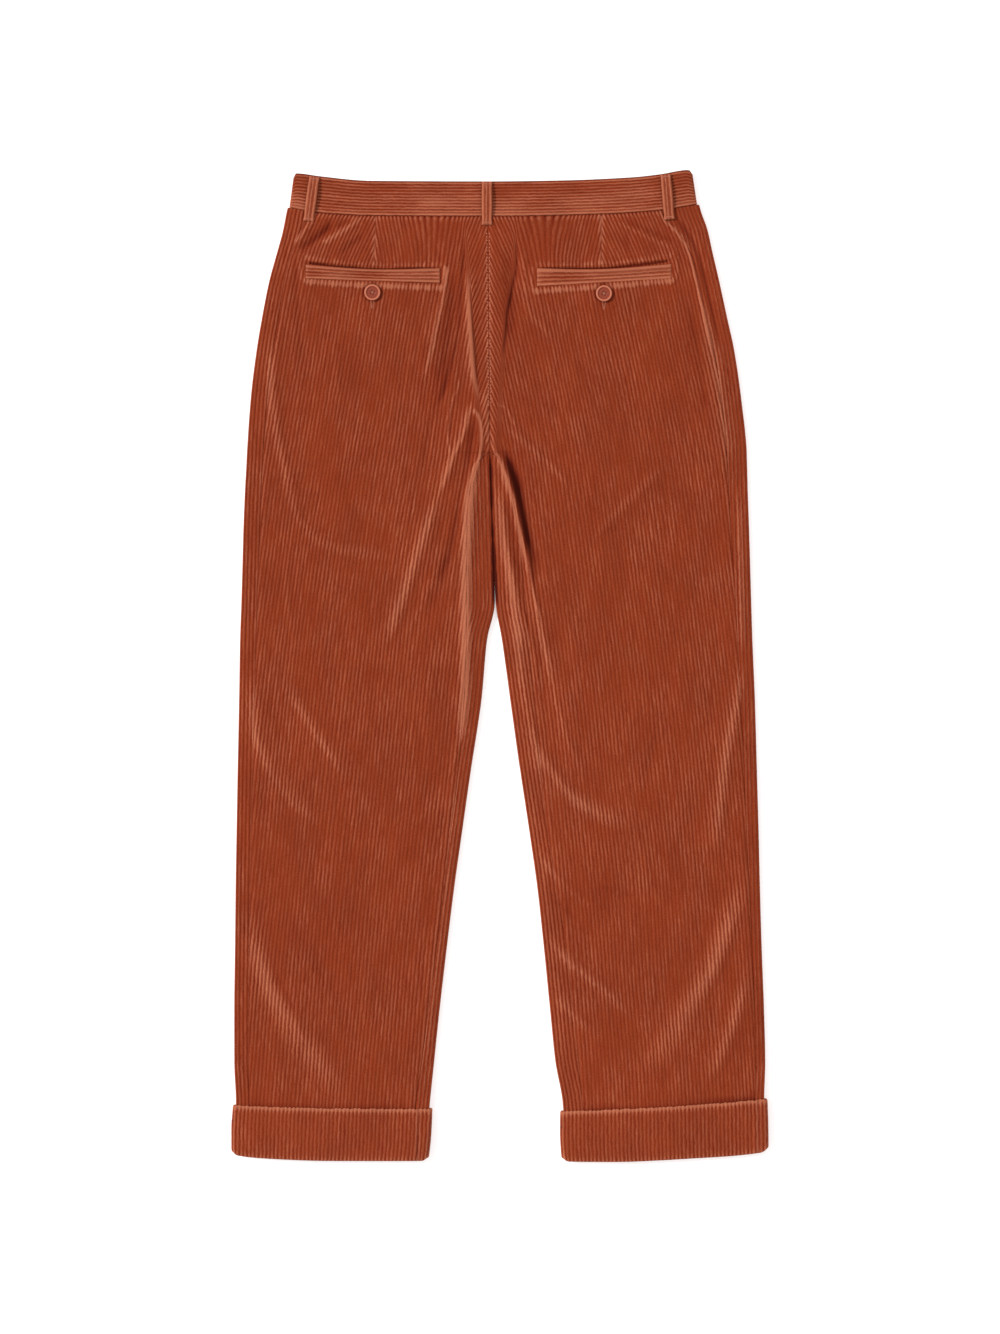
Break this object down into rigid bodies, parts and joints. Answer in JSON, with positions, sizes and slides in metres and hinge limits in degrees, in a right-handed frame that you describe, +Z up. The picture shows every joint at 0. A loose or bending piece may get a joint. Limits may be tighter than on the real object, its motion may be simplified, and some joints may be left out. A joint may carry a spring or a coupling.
{
  "type": "corduroy trousers",
  "caption": "Wide-wale corduroy trousers laid flat with the back up: shaped waistband with belt loops, welted hip pockets with buttons, straight legs with turn-ups.",
  "frame": {"origin": "middle of the bounding box on the surface that the trousers lie on", "axes": "+X towards the wearer's right, which is on the right seen from above, +Y from the turn-ups towards the waistband, +Z up from the surface, out of the back of the trousers"},
  "size_m": [0.5377, 0.9921, 0.011],
  "materials": {
    "corduroy": "rust-orange cotton corduroy with wide wales and a soft cut pile",
    "button": "rust-orange resin dyed to match, satin"
  },
  "bodies": {
    "root": {"back_panel_left": "corduroy", "back_panel_right": "corduroy", "front_panel_left": "corduroy", "front_panel_right": "corduroy", "waistband": "corduroy", "belt_loop_left": "corduroy", "belt_loop_back": "corduroy", "belt_loop_right": "corduroy", "pocket_welt_left": "corduroy", "pocket_welt_right": "corduroy", "pocket_button_left": "button", "pocket_button_right": "button", "cuff_left": "corduroy", "cuff_right": "corduroy"}
  },
  "joints": []
}
